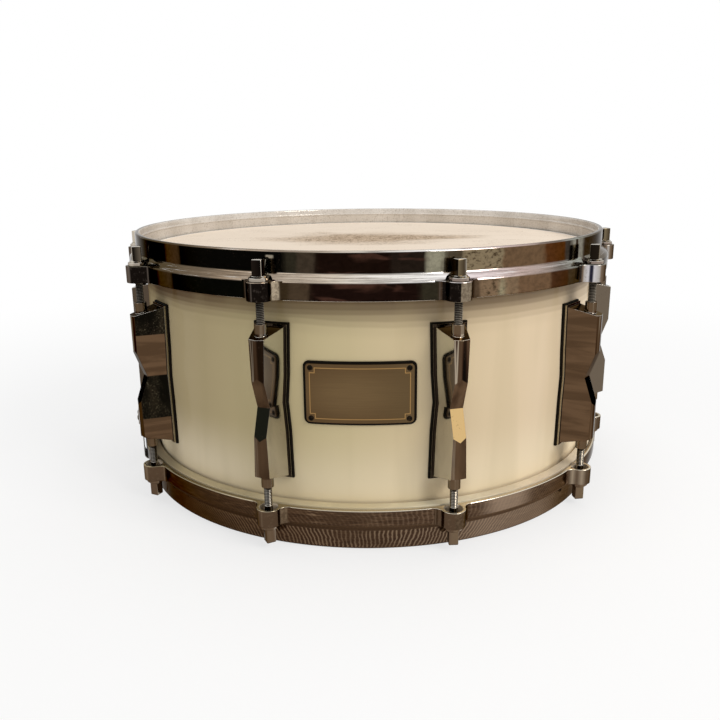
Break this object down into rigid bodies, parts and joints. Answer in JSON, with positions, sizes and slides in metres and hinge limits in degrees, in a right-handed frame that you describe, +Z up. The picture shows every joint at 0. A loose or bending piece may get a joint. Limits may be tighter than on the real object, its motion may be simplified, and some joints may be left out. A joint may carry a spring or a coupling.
{
  "type": "snare drum",
  "caption": "Acoustic snare drum: gloss ply shell, die-cast hoops with hollow ears, faceted tube lugs, tension rods that turn, throw-off strainer and snare wires.",
  "frame": {"origin": "on the drum's axis, in the plane of the lower rim that it stands on", "axes": "+Z up along the drum's axis; -Y is the front, where the name plate is; +X is to the right of the front, where the strainer is"},
  "size_m": [0.4022, 0.3834, 0.194],
  "materials": {
    "shell_lacquer": "gloss cream lacquer over ply",
    "chrome": "bright plated",
    "steel": "plain",
    "batter_film": "coated, worn in the middle",
    "snare_film": "hazy, thin",
    "hoop_aluminium": "satin",
    "rubber": "matte",
    "plate_smoke": "smoky dark mirror",
    "strap_film": "thin band"
  },
  "bodies": {
    "drum": {"shell": "shell_lacquer", "vent_grommet": "chrome", "batter_head": "batter_film", "batter_flesh_hoop": "hoop_aluminium", "snare_head": "snare_film", "snare_flesh_hoop": "hoop_aluminium", "top_hoop": "chrome", "bottom_hoop": "chrome", "lug_1": "chrome", "lug_2": "chrome", "lug_3": "chrome", "lug_4": "chrome", "lug_5": "chrome", "lug_6": "chrome", "lug_7": "chrome", "lug_8": "chrome", "lug_9": "chrome", "lug_10": "chrome", "lug_gaskets": "rubber", "name_plate_gasket": "rubber", "name_plate": "plate_smoke", "mounting_gaskets": "rubber", "strainer_base": "chrome", "strainer_pin": "steel", "butt_plate": "chrome", "butt_clamp": "chrome", "butt_strap": "strap_film"},
    "top_rod_1": {"top_rod_1": "chrome"},
    "bottom_rod_1": {"bottom_rod_1": "chrome"},
    "top_rod_2": {"top_rod_2": "chrome"},
    "bottom_rod_2": {"bottom_rod_2": "chrome"},
    "top_rod_3": {"top_rod_3": "chrome"},
    "bottom_rod_3": {"bottom_rod_3": "chrome"},
    "top_rod_4": {"top_rod_4": "chrome"},
    "bottom_rod_4": {"bottom_rod_4": "chrome"},
    "top_rod_5": {"top_rod_5": "chrome"},
    "bottom_rod_5": {"bottom_rod_5": "chrome"},
    "top_rod_6": {"top_rod_6": "chrome"},
    "bottom_rod_6": {"bottom_rod_6": "chrome"},
    "top_rod_7": {"top_rod_7": "chrome"},
    "bottom_rod_7": {"bottom_rod_7": "chrome"},
    "top_rod_8": {"top_rod_8": "chrome"},
    "bottom_rod_8": {"bottom_rod_8": "chrome"},
    "top_rod_9": {"top_rod_9": "chrome"},
    "bottom_rod_9": {"bottom_rod_9": "chrome"},
    "top_rod_10": {"top_rod_10": "chrome"},
    "bottom_rod_10": {"bottom_rod_10": "chrome"},
    "strainer_lever": {"strainer_lever": "chrome"},
    "strainer_carriage": {"strainer_carriage": "chrome", "strainer_clamp": "chrome", "strainer_strap": "strap_film"},
    "tuning_knob": {"tuning_knob": "chrome"},
    "snare_wires": {"snare_wires": "steel"}
  },
  "joints": [
    {"name": "top_rod_1_turn", "type": "hinge", "parent": "drum", "child": "top_rod_1", "pos_m": [0.05964, -0.18355, 0.175], "axis": [0, 0, 1], "continuous": true},
    {"name": "bottom_rod_1_turn", "type": "hinge", "parent": "drum", "child": "bottom_rod_1", "pos_m": [0.05964, -0.18355, 0.019], "axis": [0, 0, 1], "continuous": true},
    {"name": "top_rod_2_turn", "type": "hinge", "parent": "drum", "child": "top_rod_2", "pos_m": [0.15614, -0.11344, 0.175], "axis": [0, 0, 1], "continuous": true},
    {"name": "bottom_rod_2_turn", "type": "hinge", "parent": "drum", "child": "bottom_rod_2", "pos_m": [0.15614, -0.11344, 0.019], "axis": [0, 0, 1], "continuous": true},
    {"name": "top_rod_3_turn", "type": "hinge", "parent": "drum", "child": "top_rod_3", "pos_m": [0.193, 0, 0.175], "axis": [0, 0, 1], "continuous": true},
    {"name": "bottom_rod_3_turn", "type": "hinge", "parent": "drum", "child": "bottom_rod_3", "pos_m": [0.193, 0, 0.019], "axis": [0, 0, 1], "continuous": true},
    {"name": "top_rod_4_turn", "type": "hinge", "parent": "drum", "child": "top_rod_4", "pos_m": [0.15614, 0.11344, 0.175], "axis": [0, 0, 1], "continuous": true},
    {"name": "bottom_rod_4_turn", "type": "hinge", "parent": "drum", "child": "bottom_rod_4", "pos_m": [0.15614, 0.11344, 0.019], "axis": [0, 0, 1], "continuous": true},
    {"name": "top_rod_5_turn", "type": "hinge", "parent": "drum", "child": "top_rod_5", "pos_m": [0.05964, 0.18355, 0.175], "axis": [0, 0, 1], "continuous": true},
    {"name": "bottom_rod_5_turn", "type": "hinge", "parent": "drum", "child": "bottom_rod_5", "pos_m": [0.05964, 0.18355, 0.019], "axis": [0, 0, 1], "continuous": true},
    {"name": "top_rod_6_turn", "type": "hinge", "parent": "drum", "child": "top_rod_6", "pos_m": [-0.05964, 0.18355, 0.175], "axis": [0, 0, 1], "continuous": true},
    {"name": "bottom_rod_6_turn", "type": "hinge", "parent": "drum", "child": "bottom_rod_6", "pos_m": [-0.05964, 0.18355, 0.019], "axis": [0, 0, 1], "continuous": true},
    {"name": "top_rod_7_turn", "type": "hinge", "parent": "drum", "child": "top_rod_7", "pos_m": [-0.15614, 0.11344, 0.175], "axis": [0, 0, 1], "continuous": true},
    {"name": "bottom_rod_7_turn", "type": "hinge", "parent": "drum", "child": "bottom_rod_7", "pos_m": [-0.15614, 0.11344, 0.019], "axis": [0, 0, 1], "continuous": true},
    {"name": "top_rod_8_turn", "type": "hinge", "parent": "drum", "child": "top_rod_8", "pos_m": [-0.193, 0, 0.175], "axis": [0, 0, 1], "continuous": true},
    {"name": "bottom_rod_8_turn", "type": "hinge", "parent": "drum", "child": "bottom_rod_8", "pos_m": [-0.193, 0, 0.019], "axis": [0, 0, 1], "continuous": true},
    {"name": "top_rod_9_turn", "type": "hinge", "parent": "drum", "child": "top_rod_9", "pos_m": [-0.15614, -0.11344, 0.175], "axis": [0, 0, 1], "continuous": true},
    {"name": "bottom_rod_9_turn", "type": "hinge", "parent": "drum", "child": "bottom_rod_9", "pos_m": [-0.15614, -0.11344, 0.019], "axis": [0, 0, 1], "continuous": true},
    {"name": "top_rod_10_turn", "type": "hinge", "parent": "drum", "child": "top_rod_10", "pos_m": [-0.05964, -0.18355, 0.175], "axis": [0, 0, 1], "continuous": true},
    {"name": "bottom_rod_10_turn", "type": "hinge", "parent": "drum", "child": "bottom_rod_10", "pos_m": [-0.05964, -0.18355, 0.019], "axis": [0, 0, 1], "continuous": true},
    {"name": "strainer_lever_throw", "type": "hinge", "parent": "drum", "child": "strainer_lever", "pos_m": [0.17766, 0.05772, 0.063], "axis": [-0.309, 0.9511, 0], "range_deg": [0, 90]},
    {"name": "strainer_carriage_drop", "type": "slide", "parent": "drum", "child": "strainer_carriage", "axis": [0, 0, -1], "range_m": [0, 0.004]},
    {"name": "tuning_knob_turn", "type": "hinge", "parent": "strainer_carriage", "child": "tuning_knob", "pos_m": [0.17861, 0.05803, 0.094], "axis": [0, 0, 1], "continuous": true},
    {"name": "snare_wires_drop", "type": "hinge", "parent": "drum", "child": "snare_wires", "pos_m": [-0.15407, -0.05006, 0.0126], "axis": [-0.309, 0.9511, 0], "range_deg": [0, 0.7084]}
  ],
  "couplings": [
    {"joint": "strainer_lever_throw", "follows": "strainer_carriage_drop", "rad_per_m": 392.69},
    {"joint": "snare_wires_drop", "follows": "strainer_carriage_drop", "rad_per_m": 3.0864}
  ]
}
